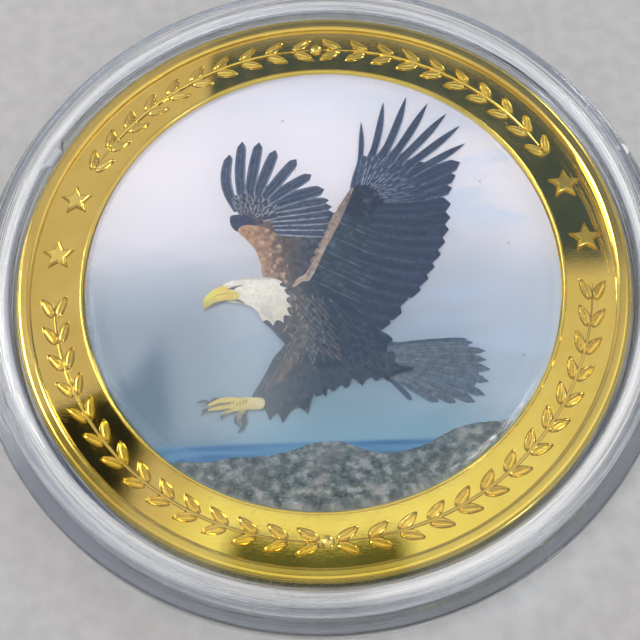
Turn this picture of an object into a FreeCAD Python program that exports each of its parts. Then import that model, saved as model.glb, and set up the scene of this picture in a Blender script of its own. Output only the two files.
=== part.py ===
"""Challenge coin in a clear round capsule: a struck coin with a printed and resin-covered picture,
held between the two snap-together halves of its case.  Millimetres, +Z up, coin lying flat."""
import FreeCAD
import Part
import Sketcher
import math
import os

doc = FreeCAD.newDocument("challenge_coin")

# ---------------------------------------------------------------- driving dimensions
SIZES = [
    # coin
    ("coin_r", 20.0, "outside radius of the coin"),
    ("coin_thick", 3.0, "over both rims"),
    ("rim_w", 0.95, "width of the raised rim"),
    ("rim_up", 0.35, "rim above the flat field"),
    ("rim_round", 0.25, "rounded outer corner of the rim"),
    ("step_round", 0.12, "rounded inner corner of the rim"),
    ("bead_r", 15.95, "outside of the thin bead round the picture"),
    ("bead_w", 0.3, "width of the bead"),
    ("bead_up", 0.18, "bead above the field"),
    ("bead_round", 0.07, "rounded corners of the bead"),
    ("recess_down", 0.5, "picture seat below the field"),
    ("reed_count", 160.0, "grooves round the edge"),
    ("reed_deep", 0.12, "depth of a groove"),
    ("reed_wide", 0.46, "mouth of a groove"),
    ("reed_out", 0.1, "how far a groove's cutter starts outside the edge"),
    ("reed_margin", 0.3, "plain band above and below the grooves"),
    # raised ornament between bead and rim
    ("ring_mid", 17.5, "middle radius of the ornament band"),
    ("relief_up", 0.2, "height of leaves and stars"),
    ("star_r", 1.02, "tip radius of a small star"),
    ("star_inner", 0.44, "valley radius of a small star"),
    ("top_share", 0.5, "top of a raised figure as a share of its foot"),
    ("star_low", 6.8, "lower stars, angle above the horizontal"),
    ("star_high", 20.5, "upper stars, angle above the horizontal"),
    ("leaf_back", 0.62, "leaf foot behind the middle of its pair"),
    ("leaf_front", 0.86, "leaf tip ahead of the middle of its pair"),
    ("leaf_foot", 0.16, "leaf foot away from the stem line"),
    ("leaf_tip", 0.86, "leaf tip away from the stem line"),
    ("leaf_wide", 0.3, "half the width of a leaf"),
    ("berry_r", 0.42, "round berry in the middle of a garland"),
    ("stem_w", 0.16, "width of the stem"),
    ("stem_up", 0.14, "height of the stem"),
    ("pair_step", 6.2, "degrees from one leaf pair to the next"),
    ("high_pairs", 10.0, "leaf pairs in each half of the upper garland"),
    ("low_pairs", 14.0, "leaf pairs in each half of the lower garland"),
    ("pair_first", 3.6, "degrees from the middle of a garland to its first pair"),
    # reverse
    ("back_star_r", 9.0, "tip radius of the star on the reverse"),
    ("back_star_inner", 3.6, "valley radius of that star"),
    ("back_star_up", 0.22, "height of that star"),
    # picture and resin
    ("print_gap", 0.06, "picture to bead"),
    ("print_thick", 0.15, "printed sheet"),
    ("resin_gap", 0.12, "resin to bead"),
    ("resin_thick", 0.48, "clear resin"),
    ("resin_round", 0.22, "rounded edge of the resin"),
    # capsule
    ("floor_thick", 1.1, "floor of the capsule"),
    ("shell_r", 21.95, "outside of both halves above and below the flange"),
    ("flange_r", 23.0, "outside of the flanges"),
    ("flange_thick", 0.8, "thickness of one flange"),
    ("seam_up", 2.9, "seam between the halves"),
    ("edge_round", 0.3, "outer corners of the flanges"),
    ("shell_round", 0.45, "outer corners of the two end faces"),
    ("well_r", 20.3, "inside of the inner wall round the coin"),
    ("tongue_thick", 0.8, "inner wall that the lid slips over"),
    ("tongue_top", 4.2, "top of the inner wall"),
    ("snap_gap", 0.06, "between the inner wall and the lid"),
    ("roof_under", 4.4, "underside of the lid's roof"),
    ("capsule_high", 5.5, "over both halves"),
    ("groove_r", 20.75, "middle of the shallow ring groove in an end face"),
    ("groove_w", 0.3, "width of that groove"),
    ("groove_deep", 0.12, "depth of that groove"),
    ("notch_wide", 2.3, "locating notch in the inner wall"),
    ("notch_deep", 0.7, "depth of the notch"),
    ("notch_angle", 152.0, "where the notch stands"),
    ("gate_r", 0.48, "radius of the moulding gate mark"),
    ("gate_up", 0.1, "height of the gate mark"),
    ("gate_at", 22.4, "its distance from the axis"),
    ("gate_angle", 23.2, "where the gate mark stands"),
]

sheet = doc.addObject("Spreadsheet::Sheet", "dims")
sheet.Label = "dims"
for row, (alias, value, note) in enumerate(SIZES, start=1):
    sheet.set("A%d" % row, alias)
    sheet.set("B%d" % row, repr(value))
    sheet.set("C%d" % row, note)
    sheet.setAlias("B%d" % row, alias)
doc.recompute()


class Size:
    """A number together with the spreadsheet expression that gives it."""

    def __init__(self, value, text):
        self.value = value
        self.text = text

    def _join(self, other, sign, value):
        text = other.text if isinstance(other, Size) else repr(other)
        return Size(value, "(%s %s %s)" % (self.text, sign, text))

    def __add__(self, other):
        return self._join(other, "+", self.value + number(other))

    def __sub__(self, other):
        return self._join(other, "-", self.value - number(other))

    def __mul__(self, other):
        return self._join(other, "*", self.value * number(other))

    def __truediv__(self, other):
        return self._join(other, "/", self.value / number(other))

    def __neg__(self):
        return Size(-self.value, "(0 - %s)" % self.text)


def number(item):
    """The plain value of a Size or of a number."""
    return item.value if isinstance(item, Size) else float(item)


D = {alias: Size(value, "<<dims>>.%s" % alias) for alias, value, note in SIZES}


# ---------------------------------------------------------------- helpers
def bind(thing, prop, size):
    """Bind a property or a constraint to an expression."""
    thing.setExpression(prop, size.text)


def plane_of(body, role):
    """One of the origin planes of a body."""
    for feature in body.Origin.OriginFeatures:
        if feature.Role == role:
            return feature
    raise RuntimeError("no plane " + role)


def new_body(label):
    body = doc.addObject("PartDesign::Body", label)
    body.Label = label
    return body


def new_sketch(body, label, role="XY_Plane", height=None, turn=None):
    """Sketch on an origin plane, raised by height and turned about its normal."""
    sketch = doc.addObject("Sketcher::SketchObject", label)
    body.addObject(sketch)
    sketch.AttachmentSupport = [(plane_of(body, role), "")]
    sketch.MapMode = "FlatFace"
    spin = FreeCAD.Rotation(FreeCAD.Vector(0, 0, 1), number(turn) if turn is not None else 0)
    lift = FreeCAD.Vector(0, 0, number(height) if height is not None else 0)
    sketch.AttachmentOffset = FreeCAD.Placement(lift, spin)
    if height is not None:
        bind(sketch, "AttachmentOffset.Base.z", height)
    if turn is not None:
        bind(sketch, "AttachmentOffset.Rotation.Angle", turn)
    return sketch


def fix_point(sketch, geo, end, x, y):
    """Hold one end of a sketch line or arc at (x, y)."""
    for kind, axis, size in (("DistanceX", -2, x), ("DistanceY", -1, y)):
        if number(size) == 0:
            sketch.addConstraint(Sketcher.Constraint("PointOnObject", geo, end, axis))
            continue
        index = sketch.addConstraint(Sketcher.Constraint(kind, -1, 1, geo, end, number(size)))
        if isinstance(size, Size):
            bind(sketch, "Constraints[%d]" % index, size)


def toward(start, end):
    """Sign of the step from one corner coordinate to the next."""
    gap = number(end) - number(start)
    return 0 if abs(gap) < 1e-9 else int(math.copysign(1, gap))


def step(size, sign, length):
    """size moved by sign times length."""
    size = size if isinstance(size, Size) else Size(float(size), repr(size))
    if sign > 0:
        return size + length
    if sign < 0:
        return size - length
    return size


def square_profile(sketch, corners):
    """Closed outline with square corners; a corner (x, y, r) is rounded with radius r."""
    total = len(corners)
    stops = []
    for i, corner in enumerate(corners):
        x, y = corner[0], corner[1]
        if len(corner) == 2:
            stops.append([(x, y)])
            continue
        radius = corner[2]
        before = corners[i - 1]
        after = corners[(i + 1) % total]
        first = (step(x, toward(x, before[0]), radius), step(y, toward(y, before[1]), radius))
        last = (step(x, toward(x, after[0]), radius), step(y, toward(y, after[1]), radius))
        middle = (number(first[0]) + number(last[0]) - number(x),
                  number(first[1]) + number(last[1]) - number(y))
        stops.append([first, last, middle, radius])
    chain = []
    for i, stop in enumerate(stops):
        if len(stop) == 4:
            chain.append(add_corner_arc(sketch, stop))
        here = stop[1] if len(stop) == 4 else stop[0]
        there = stops[(i + 1) % total][0]
        start = FreeCAD.Vector(number(here[0]), number(here[1]), 0)
        finish = FreeCAD.Vector(number(there[0]), number(there[1]), 0)
        line = sketch.addGeometry(Part.LineSegment(start, finish), False)
        fix_point(sketch, line, 1, here[0], here[1])
        chain.append((line, 1, 2))
    for this, following in zip(chain, chain[1:] + chain[:1]):
        sketch.addConstraint(Sketcher.Constraint("Coincident", this[0], this[2],
                                                 following[0], following[1]))


def add_corner_arc(sketch, stop):
    """Quarter-circle corner; returns its index and its first and last end."""
    first, last, middle, radius = stop
    centre = FreeCAD.Vector(middle[0], middle[1], 0)
    a = math.atan2(number(first[1]) - middle[1], number(first[0]) - middle[0])
    b = math.atan2(number(last[1]) - middle[1], number(last[0]) - middle[0])
    turn = (b - a) % (2 * math.pi)
    counter = turn < math.pi
    low, high = (a, a + turn) if counter else (b, b + 2 * math.pi - turn)
    circle = Part.Circle(centre, FreeCAD.Vector(0, 0, 1), number(radius))
    arc = sketch.addGeometry(Part.ArcOfCircle(circle, low, high), False)
    ends = (1, 2) if counter else (2, 1)
    fix_point(sketch, arc, ends[0], first[0], first[1])
    index = sketch.addConstraint(Sketcher.Constraint("Radius", arc, number(radius)))
    bind(sketch, "Constraints[%d]" % index, radius)
    return (arc,) + ends


def polygon(sketch, points):
    """Closed outline through fully placed points."""
    first = None
    previous = None
    for i, (x, y) in enumerate(points):
        nx, ny = points[(i + 1) % len(points)]
        start = FreeCAD.Vector(number(x), number(y), 0)
        finish = FreeCAD.Vector(number(nx), number(ny), 0)
        line = sketch.addGeometry(Part.LineSegment(start, finish), False)
        fix_point(sketch, line, 1, x, y)
        if previous is not None:
            sketch.addConstraint(Sketcher.Constraint("Coincident", previous, 2, line, 1))
        else:
            first = line
        previous = line
    sketch.addConstraint(Sketcher.Constraint("Coincident", previous, 2, first, 1))


def circle_at(sketch, x, y, radius):
    centre = FreeCAD.Vector(number(x), number(y), 0)
    geo = sketch.addGeometry(Part.Circle(centre, FreeCAD.Vector(0, 0, 1), number(radius)), False)
    fix_point(sketch, geo, 3, x, y)
    index = sketch.addConstraint(Sketcher.Constraint("Radius", geo, number(radius)))
    bind(sketch, "Constraints[%d]" % index, radius)


def star(sketch, x, y, tip, valley):
    """Five-pointed star with one tip toward +Y."""
    points = []
    for i in range(10):
        angle = math.radians(90 + 36 * i)
        reach = tip if i % 2 == 0 else valley
        points.append((reach * round(math.cos(angle), 6) + x, reach * round(math.sin(angle), 6) + y))
    polygon(sketch, points)


def revolve(body, sketch, label):
    turn = doc.addObject("PartDesign::Revolution", label)
    body.addObject(turn)
    turn.Profile = sketch
    turn.ReferenceAxis = (sketch, ["V_Axis"])
    turn.Angle = 360
    sketch.Visibility = False
    return turn


def pad(body, sketch, label, length):
    block = doc.addObject("PartDesign::Pad", label)
    body.addObject(block)
    block.Profile = sketch
    bind(block, "Length", length)
    sketch.Visibility = False
    return block


def pocket(body, sketch, label, length, midplane=False):
    hole = doc.addObject("PartDesign::Pocket", label)
    body.addObject(hole)
    hole.Profile = sketch
    hole.Midplane = midplane
    bind(hole, "Length", length)
    sketch.Visibility = False
    return hole


def polar(body, features, label, angle, count):
    """Repeat features about the body's Z axis."""
    ring = doc.addObject("PartDesign::PolarPattern", label)
    body.addObject(ring)
    ring.Originals = features
    ring.Axis = (plane_of(body, "Z_Axis"), [""])
    bind(ring, "Angle", angle)
    bind(ring, "Occurrences", count)
    body.Tip = ring
    return ring


def mirrored(body, features, label):
    """Mirror features across the YZ plane."""
    twin = doc.addObject("PartDesign::Mirrored", label)
    body.addObject(twin)
    twin.Originals = features
    twin.MirrorPlane = (plane_of(body, "YZ_Plane"), [""])
    body.Tip = twin
    return twin


def cosine(degrees):
    return Size(math.cos(math.radians(degrees.value)), "cos(%s * 1 deg)" % degrees.text)


def sine(degrees):
    return Size(math.sin(math.radians(degrees.value)), "sin(%s * 1 deg)" % degrees.text)


def leaf(sketch, foot, tip, wide):
    """Pointed leaf between foot and tip: two equal arcs, each bulging by wide."""
    long_x = tip[0] - foot[0]
    long_y = tip[1] - foot[1]
    half_square = (long_x * long_x + long_y * long_y) / 4
    radius = (half_square + wide * wide) / (wide * 2)
    ax, ay = number(foot[0]), number(foot[1])
    bx, by = number(tip[0]), number(tip[1])
    length = math.hypot(bx - ax, by - ay)
    nx, ny = (ay - by) / length, (bx - ax) / length
    arcs = []
    for side in (1, -1):
        back = side * (number(wide) - number(radius))
        centre = FreeCAD.Vector((ax + bx) / 2 + nx * back, (ay + by) / 2 + ny * back, 0)
        a = math.atan2(ay - centre.y, ax - centre.x)
        b = math.atan2(by - centre.y, bx - centre.x)
        low, high = (b, a) if side > 0 else (a, b)
        turn = (high - low) % (2 * math.pi)
        circle = Part.Circle(centre, FreeCAD.Vector(0, 0, 1), number(radius))
        geo = sketch.addGeometry(Part.ArcOfCircle(circle, low, low + turn), False)
        foot_end, tip_end = (2, 1) if side > 0 else (1, 2)
        arcs.append((geo, foot_end, tip_end))
    first, second = arcs
    fix_point(sketch, first[0], first[1], foot[0], foot[1])
    fix_point(sketch, first[0], first[2], tip[0], tip[1])
    sketch.addConstraint(Sketcher.Constraint("Coincident", first[0], first[1], second[0], second[1]))
    sketch.addConstraint(Sketcher.Constraint("Coincident", first[0], first[2], second[0], second[2]))
    index = sketch.addConstraint(Sketcher.Constraint("Radius", first[0], number(radius)))
    bind(sketch, "Constraints[%d]" % index, radius)
    sketch.addConstraint(Sketcher.Constraint("Equal", first[0], second[0]))


def garland_leaf(sketch, side, way, share):
    """Leaf on one side of the stem line, tip toward way; share shrinks it about its middle."""
    foot = (D["ring_mid"] + D["leaf_foot"] * side, D["leaf_back"] * -way)
    tip = (D["ring_mid"] + D["leaf_tip"] * side, D["leaf_front"] * way)
    middle = ((foot[0] + tip[0]) / 2, (foot[1] + tip[1]) / 2)
    foot = (middle[0] + (foot[0] - middle[0]) * share, middle[1] + (foot[1] - middle[1]) * share)
    tip = (middle[0] + (tip[0] - middle[0]) * share, middle[1] + (tip[1] - middle[1]) * share)
    leaf(sketch, foot, tip, D["leaf_wide"] * share)


def stem_piece(sketch):
    """Short straight length of stem that reaches its neighbours in the pattern."""
    half = D["ring_mid"] * sine(D["pair_step"] / 2) * 1.02
    inner = D["ring_mid"] - D["stem_w"] / 2
    outer = D["ring_mid"] + D["stem_w"] / 2
    polygon(sketch, [(inner, -half), (outer, -half), (outer, half), (inner, half)])


def bevelled(body, name, draw, levels, turn=None):
    """Raised figure whose top is smaller than its foot; draw(sketch, share) draws it."""
    foot = new_sketch(body, name + "_foot", height=levels[0], turn=turn)
    draw(foot, Size(1.0, "1"))
    top = new_sketch(body, name + "_top", height=levels[1], turn=turn)
    draw(top, D["top_share"])
    block = doc.addObject("PartDesign::AdditiveLoft", name)
    body.addObject(block)
    block.Profile = foot
    block.Sections = [top]
    block.Ruled = True
    foot.Visibility = False
    top.Visibility = False
    return block


def star_at(x, y, tip, valley):
    return lambda sketch, share: star(sketch, x, y, tip * share, valley * share)


def berry_at(x, y, radius):
    return lambda sketch, share: circle_at(sketch, x, y, radius * share)


def leaf_at(side, way):
    return lambda sketch, share: garland_leaf(sketch, side, way, share)


# ---------------------------------------------------------------- shared levels
field_top = D["coin_thick"] - D["rim_up"]
seat = field_top - D["recess_down"]
rim_in = D["coin_r"] - D["rim_w"]
bead_in = D["bead_r"] - D["bead_w"]
tongue_out = D["well_r"] + D["tongue_thick"]
lid_bore = tongue_out + D["snap_gap"]
groove_out = D["groove_r"] + D["groove_w"] / 2
groove_in = D["groove_r"] - D["groove_w"] / 2

# ---------------------------------------------------------------- coin body
coin = new_body("coin_body")
outline = new_sketch(coin, "coin_outline", "XZ_Plane")
square_profile(outline, [
    (0, D["rim_up"]),
    (rim_in, D["rim_up"]),
    (rim_in, 0, D["step_round"]),
    (D["coin_r"], 0, D["rim_round"]),
    (D["coin_r"], D["coin_thick"], D["rim_round"]),
    (rim_in, D["coin_thick"], D["step_round"]),
    (rim_in, field_top),
    (D["bead_r"], field_top),
    (D["bead_r"], field_top + D["bead_up"], D["bead_round"]),
    (bead_in, field_top + D["bead_up"], D["bead_round"]),
    (bead_in, seat),
    (0, seat),
])
blank = revolve(coin, outline, "blank")

relief = (field_top, field_top + D["relief_up"])
STARS = [
    ("low_right", D["star_low"], 1),
    ("low_left", D["star_low"], -1),
    ("high_right", D["star_high"], 1),
    ("high_left", D["star_high"], -1),
]
for name, lift, side in STARS:
    draw = star_at(D["ring_mid"] * cosine(lift) * side, D["ring_mid"] * sine(lift),
                   D["star_r"], D["star_inner"])
    bevelled(coin, name + "_star", draw, relief)

for name, side in (("top_berry", 1), ("low_berry", -1)):
    bevelled(coin, name, berry_at(0, D["ring_mid"] * side, D["berry_r"]), relief)

high_span = D["pair_step"] * (D["high_pairs"] - 1)
low_span = D["pair_step"] * (D["low_pairs"] - 1)
top_angle = Size(90.0, "90")
low_angle = Size(270.0, "270")
QUARTERS = [
    ("high_left", top_angle + D["pair_first"], high_span, D["high_pairs"], -1),
    ("high_right", top_angle - D["pair_first"] - high_span, high_span, D["high_pairs"], 1),
    ("low_left", low_angle - D["pair_first"] - low_span, low_span, D["low_pairs"], -1),
    ("low_right", low_angle + D["pair_first"], low_span, D["low_pairs"], 1),
]
for name, start, span, pairs, way in QUARTERS:
    outer = bevelled(coin, name + "_outer_leaf", leaf_at(1, way), relief, start)
    inner = bevelled(coin, name + "_inner_leaf", leaf_at(-1, way), relief, start)
    stem = new_sketch(coin, name + "_stem_outline", height=field_top, turn=start)
    stem_piece(stem)
    stem_pad = pad(coin, stem, name + "_stem", D["stem_up"])
    polar(coin, [outer, inner, stem_pad], name + "_garland", span, pairs)

bevelled(coin, "reverse_star", star_at(0, 0, D["back_star_r"], D["back_star_inner"]),
         (D["rim_up"], D["rim_up"] - D["back_star_up"]))

reed = new_sketch(coin, "reed_outline", height=D["coin_thick"] - D["reed_margin"])
polygon(reed, [
    (D["coin_r"] - D["reed_deep"], 0),
    (D["coin_r"] + D["reed_out"], D["reed_wide"] / -2),
    (D["coin_r"] + D["reed_out"], D["reed_wide"] / 2),
])
reed_cut = pocket(coin, reed, "reed", D["coin_thick"] - D["reed_margin"] * 2)
polar(coin, [reed_cut], "reeded_edge", Size(360.0, "360"), D["reed_count"])

# ---------------------------------------------------------------- picture and resin
picture = new_body("print_disc")
picture_sketch = new_sketch(picture, "picture_outline")
circle_at(picture_sketch, 0, 0, bead_in - D["print_gap"])
pad(picture, picture_sketch, "sheet", D["print_thick"])

resin = new_body("resin_layer")
resin_sketch = new_sketch(resin, "resin_outline", "XZ_Plane")
resin_r = bead_in - D["resin_gap"]
square_profile(resin_sketch, [
    (0, 0),
    (resin_r, 0),
    (resin_r, D["resin_thick"], D["resin_round"]),
    (0, D["resin_thick"]),
])
revolve(resin, resin_sketch, "poured_layer")

# ---------------------------------------------------------------- capsule base
base = new_body("capsule_base")
base_sketch = new_sketch(base, "base_outline", "XZ_Plane")
under_flange = D["seam_up"] - D["flange_thick"]
square_profile(base_sketch, [
    (0, 0),
    (groove_in, 0),
    (groove_in, D["groove_deep"]),
    (groove_out, D["groove_deep"]),
    (groove_out, 0),
    (D["shell_r"], 0, D["shell_round"]),
    (D["shell_r"], under_flange),
    (D["flange_r"], under_flange, D["edge_round"]),
    (D["flange_r"], D["seam_up"]),
    (tongue_out, D["seam_up"]),
    (tongue_out, D["tongue_top"], D["step_round"]),
    (D["well_r"], D["tongue_top"], D["step_round"]),
    (D["well_r"], D["floor_thick"]),
    (0, D["floor_thick"]),
])
revolve(base, base_sketch, "lower_half")
notch = new_sketch(base, "notch_outline", height=D["tongue_top"], turn=D["notch_angle"])
polygon(notch, [
    (D["well_r"] - D["tongue_thick"] / 2, D["notch_wide"] / -2),
    (tongue_out + D["tongue_thick"] / 2, D["notch_wide"] / -2),
    (tongue_out + D["tongue_thick"] / 2, D["notch_wide"] / 2),
    (D["well_r"] - D["tongue_thick"] / 2, D["notch_wide"] / 2),
])
pocket(base, notch, "locating_notch", D["notch_deep"])

# ---------------------------------------------------------------- capsule lid
lid = new_body("capsule_lid")
lid_sketch = new_sketch(lid, "lid_outline", "XZ_Plane")
lid_high = D["capsule_high"] - D["seam_up"]
roof_low = D["roof_under"] - D["seam_up"]
square_profile(lid_sketch, [
    (lid_bore, 0),
    (D["flange_r"], 0),
    (D["flange_r"], D["flange_thick"], D["edge_round"]),
    (D["shell_r"], D["flange_thick"]),
    (D["shell_r"], lid_high, D["shell_round"]),
    (groove_out, lid_high),
    (groove_out, lid_high - D["groove_deep"]),
    (groove_in, lid_high - D["groove_deep"]),
    (groove_in, lid_high),
    (0, lid_high),
    (0, roof_low),
    (lid_bore, roof_low),
])
revolve(lid, lid_sketch, "upper_half")
gate = new_sketch(lid, "gate_outline", height=D["flange_thick"] / 2, turn=D["gate_angle"])
circle_at(gate, D["gate_at"], 0, D["gate_r"])
pad(lid, gate, "gate_mark", D["flange_thick"] / 2 + D["gate_up"])

# ---------------------------------------------------------------- placing
LEVELS = [
    (coin, D["floor_thick"]),
    (picture, D["floor_thick"] + seat),
    (resin, D["floor_thick"] + seat + D["print_thick"]),
    (base, None),
    (lid, D["seam_up"]),
]
for body, level in LEVELS:
    if level is not None:
        body.Placement = FreeCAD.Placement(FreeCAD.Vector(0, 0, level.value), FreeCAD.Rotation())
        bind(body, "Placement.Base.z", level)
doc.recompute()

# ---------------------------------------------------------------- checks
for item in doc.Objects:
    bad = [word for word in item.State if word in ("Invalid", "Error")]
    if bad:
        raise RuntimeError("%s is %s" % (item.Label, bad))
for feature in doc.Objects:
    if feature.isDerivedFrom("PartDesign::Pocket"):
        before = feature.BaseFeature.Shape.Volume
        if feature.Shape.Volume >= before - 1e-6:
            raise RuntimeError(feature.Label + " cuts nothing")
if blank.Shape.Volume <= coin.Shape.Volume * 0.9:
    raise RuntimeError("the coin lost metal")

os.makedirs("parts", exist_ok=True)
for body, level in LEVELS:
    shape = body.Shape
    if shape.isNull() or not shape.isValid() or len(shape.Solids) != 1:
        raise RuntimeError(body.Label + " is not one valid solid")
    shape.exportStep("parts/%s.step" % body.Label)
    print("%-14s faces %4d volume %9.3f" % (body.Label, len(shape.Faces), shape.Volume))
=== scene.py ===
"""Challenge coin in a clear capsule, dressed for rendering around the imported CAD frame.  Metres; the
drawing helpers below take millimetres and scale once."""

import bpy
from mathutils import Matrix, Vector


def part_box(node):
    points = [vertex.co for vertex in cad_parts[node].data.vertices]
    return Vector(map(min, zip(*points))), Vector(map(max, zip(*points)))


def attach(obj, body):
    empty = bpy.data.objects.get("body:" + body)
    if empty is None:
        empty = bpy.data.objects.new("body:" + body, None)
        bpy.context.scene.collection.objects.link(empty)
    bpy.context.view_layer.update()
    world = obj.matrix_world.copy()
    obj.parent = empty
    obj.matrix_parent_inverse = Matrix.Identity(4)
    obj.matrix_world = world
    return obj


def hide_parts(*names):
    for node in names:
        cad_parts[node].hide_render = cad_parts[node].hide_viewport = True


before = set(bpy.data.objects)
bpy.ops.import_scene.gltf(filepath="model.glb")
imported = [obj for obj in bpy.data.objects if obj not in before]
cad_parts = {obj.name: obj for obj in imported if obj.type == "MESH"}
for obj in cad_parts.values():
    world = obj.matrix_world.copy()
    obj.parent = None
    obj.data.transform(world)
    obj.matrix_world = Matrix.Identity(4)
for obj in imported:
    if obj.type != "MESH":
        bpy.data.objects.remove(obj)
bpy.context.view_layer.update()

from functools import partial, reduce
from math import atan2, cos, degrees, exp, hypot, pi, radians, sin, sqrt

import bpy
from mathutils import Matrix, Vector, geometry, noise

MM = 0.001

# -------- sizes, millimetres
LOW = {n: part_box(n)[0].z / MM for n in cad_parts}
HIGH = {n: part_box(n)[1].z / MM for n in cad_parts}
DISC_STEPS, CASE_STEPS = 192, 288
COIN_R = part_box("coin_body")[1].x / MM
COIN_LOW, COIN_TOP = LOW["coin_body"], HIGH["coin_body"]
RIM_IN = COIN_R - 0.95
FIELD = COIN_TOP - 0.35
SEAT = FIELD - 0.5
BACK = COIN_LOW + 0.35
BEAD_OUT, BEAD_IN, BEAD_UP = 15.86, 15.65, 0.13
REEDS, REED_DEEP = 160, 0.12
RING_MID = 17.5
SHEET_TOP = HIGH["print_disc"]
SHEET_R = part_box("print_disc")[1].x / MM
RESIN_TOP = HIGH["resin_layer"]
RESIN_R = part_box("resin_layer")[1].x / MM
SEAM = LOW["capsule_lid"]
LID_TOP = HIGH["capsule_lid"]
FLANGE_R, SHELL_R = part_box("capsule_lid")[1].x / MM, 21.95
FLANGE_T = 0.8
ROOF_LOW = LID_TOP - 1.1
FLOOR_TOP = 1.1
WELL_R, TONGUE_R, BORE_R = 20.3, 21.1, 21.16
TONGUE_TOP = HIGH["capsule_base"]
NOTCH_AT, NOTCH_WIDE, NOTCH_DEEP = 152, 2.3, 0.7
GROOVE = ((20.6, 0), (20.63, 0.12), (20.87, 0.12), (20.9, 0))
GATE, GATE_R = radians(23.2), 22.4
GATE_X, GATE_Y = GATE_R * cos(GATE), GATE_R * sin(GATE)


# -------- mesh helpers
def new_object(name, data):
    obj = bpy.data.objects.new(name, data)
    bpy.context.scene.collection.objects.link(obj)
    return obj


def make(name, verts, faces, body, slot, mat, sharp=35, replaces=(), colours=None):
    """A closed mesh piece from millimetre points; colours are per-vertex (r, g, b)."""
    mesh = bpy.data.meshes.new(name)
    mesh.from_pydata([(x * MM, y * MM, z * MM) for x, y, z in verts], [], faces)
    if colours is not None:
        layer = mesh.color_attributes.new("tint", "FLOAT_COLOR", "POINT")
        for point, colour in zip(layer.data, colours):
            point.color = (*colour, 1)
    mesh.validate()
    obj = new_object(name, mesh)
    mesh.shade_smooth()
    mesh.set_sharp_from_angle(angle=radians(sharp))
    mesh.materials.append(mat)
    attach(obj, body)
    if replaces:
        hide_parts(*replaces)


class Build:
    """Collects points, faces and tints of one piece."""

    def __init__(self):
        self.verts, self.faces, self.tints = [], [], []

    def add(self, verts, faces, tints=(), flip=False):
        start = len(self.verts)
        self.verts += verts
        self.faces += [tuple(i + start for i in (f[::-1] if flip else f)) for f in faces]
        self.tints += tints


def around(centre, reach, angle):
    """Point at an angle in radians about a centre."""
    return centre[0] + reach * cos(angle), centre[1] + reach * sin(angle)


def lathe(profile, segments, warp=None):
    """Closed solid of revolution; profile is (r, z) points, upward on the outside.  Points on the axis
    become a single vertex.  warp(r, z, angle) may move a ring point's radius."""
    verts, faces, rings = [], [], []
    for r, z in profile:
        if r < 1e-9:
            rings.append([len(verts)])
            verts.append((0, 0, z))
            continue
        rings.append(list(range(len(verts), len(verts) + segments)))
        for s in range(segments):
            a = 2 * pi * s / segments
            rr = warp(r, z, a) if warp else r
            verts.append((rr * cos(a), rr * sin(a), z))
    pairs = list(zip(rings, rings[1:]))
    if len(rings[0]) > 1:
        pairs.append((rings[-1], rings[0]))
    for low, high in pairs:
        if len(low) == len(high) == 1:
            continue
        for s in range(segments):
            t = (s + 1) % segments
            if len(low) == 1:
                faces.append((low[0], high[t], high[s]))
            elif len(high) == 1:
                faces.append((low[s], low[t], high[0]))
            else:
                faces.append((low[s], low[t], high[t], high[s]))
    return verts, faces


def corner(r, z, radius, start, steps=5):
    """Quarter-round corner centred so that it touches the square corner's two sides; start in degrees,
    turning anticlockwise in the (r, z) plane, or clockwise when radius is negative."""
    way = 1 if radius > 0 else -1
    return [around((r, z), abs(radius), radians(start + way * 90 * i / steps))
            for i in range(steps + 1)]


def spline(points, per=8, closed=True):
    """Catmull-Rom curve through (x, y) points; a point with a third value True is a sharp corner."""
    n = len(points)
    out = []
    for i in range(n if closed else n - 1):
        p0 = points[(i - 1) % n] if closed or i else points[0]
        p1, p2 = points[i % n], points[(i + 1) % n]
        p3 = points[(i + 2) % n] if closed or i + 2 < n else points[-1]
        m1 = (0, 0) if len(p1) > 2 else ((p2[0] - p0[0]) / 2, (p2[1] - p0[1]) / 2)
        m2 = (0, 0) if len(p2) > 2 else ((p3[0] - p1[0]) / 2, (p3[1] - p1[1]) / 2)
        for j in range(per):
            t = j / per
            a, b = 2 * t**3 - 3 * t**2 + 1, t**3 - 2 * t**2 + t
            c, d = -2 * t**3 + 3 * t**2, t**3 - t**2
            out.append(tuple(a * p1[q] + b * m1[q] + c * p2[q] + d * m2[q] for q in (0, 1)))
    if not closed:
        out.append(points[-1][:2])
    return out


def grid_rim(rows, cols):
    """Border of a grid of points listed row by row, in order."""
    wide = cols + 1
    return (list(range(wide)) + [i * wide + cols for i in range(1, rows + 1)]
            + [rows * wide + j for j in range(cols - 1, -1, -1)] + [i * wide for i in range(rows - 1, 0, -1)])


# -------- node helpers
def feed(socket, item):
    """Links a node's output to a socket, or sets the socket to a number, a vector or a colour."""
    if isinstance(item, bpy.types.NodeSocket):
        socket.id_data.links.new(item, socket)
    else:
        socket.default_value = (*item, 1) if socket.type == "RGBA" else item


def grow(tree, kind, inputs, output=0, **settings):
    """Adds a node with its settings and inputs, and gives back one of its outputs."""
    made = tree.nodes.new("ShaderNode" + kind)
    for key, value in settings.items():
        setattr(made, key, value)
    for key, item in inputs.items():
        feed(made.inputs[key], item)
    return made.outputs[output]


def tree_of(*items):
    return next(item.id_data for item in items if isinstance(item, bpy.types.NodeSocket))


def maths(op, *items):
    """Folds one operation over sockets and plain numbers, from the left."""
    return reduce(lambda a, b: grow(tree_of(a, b), "Math", {0: a, 1: b}, operation=op), items)


times, plus, minus, most = (partial(maths, op) for op in ("MULTIPLY", "ADD", "SUBTRACT", "MAXIMUM"))


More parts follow.
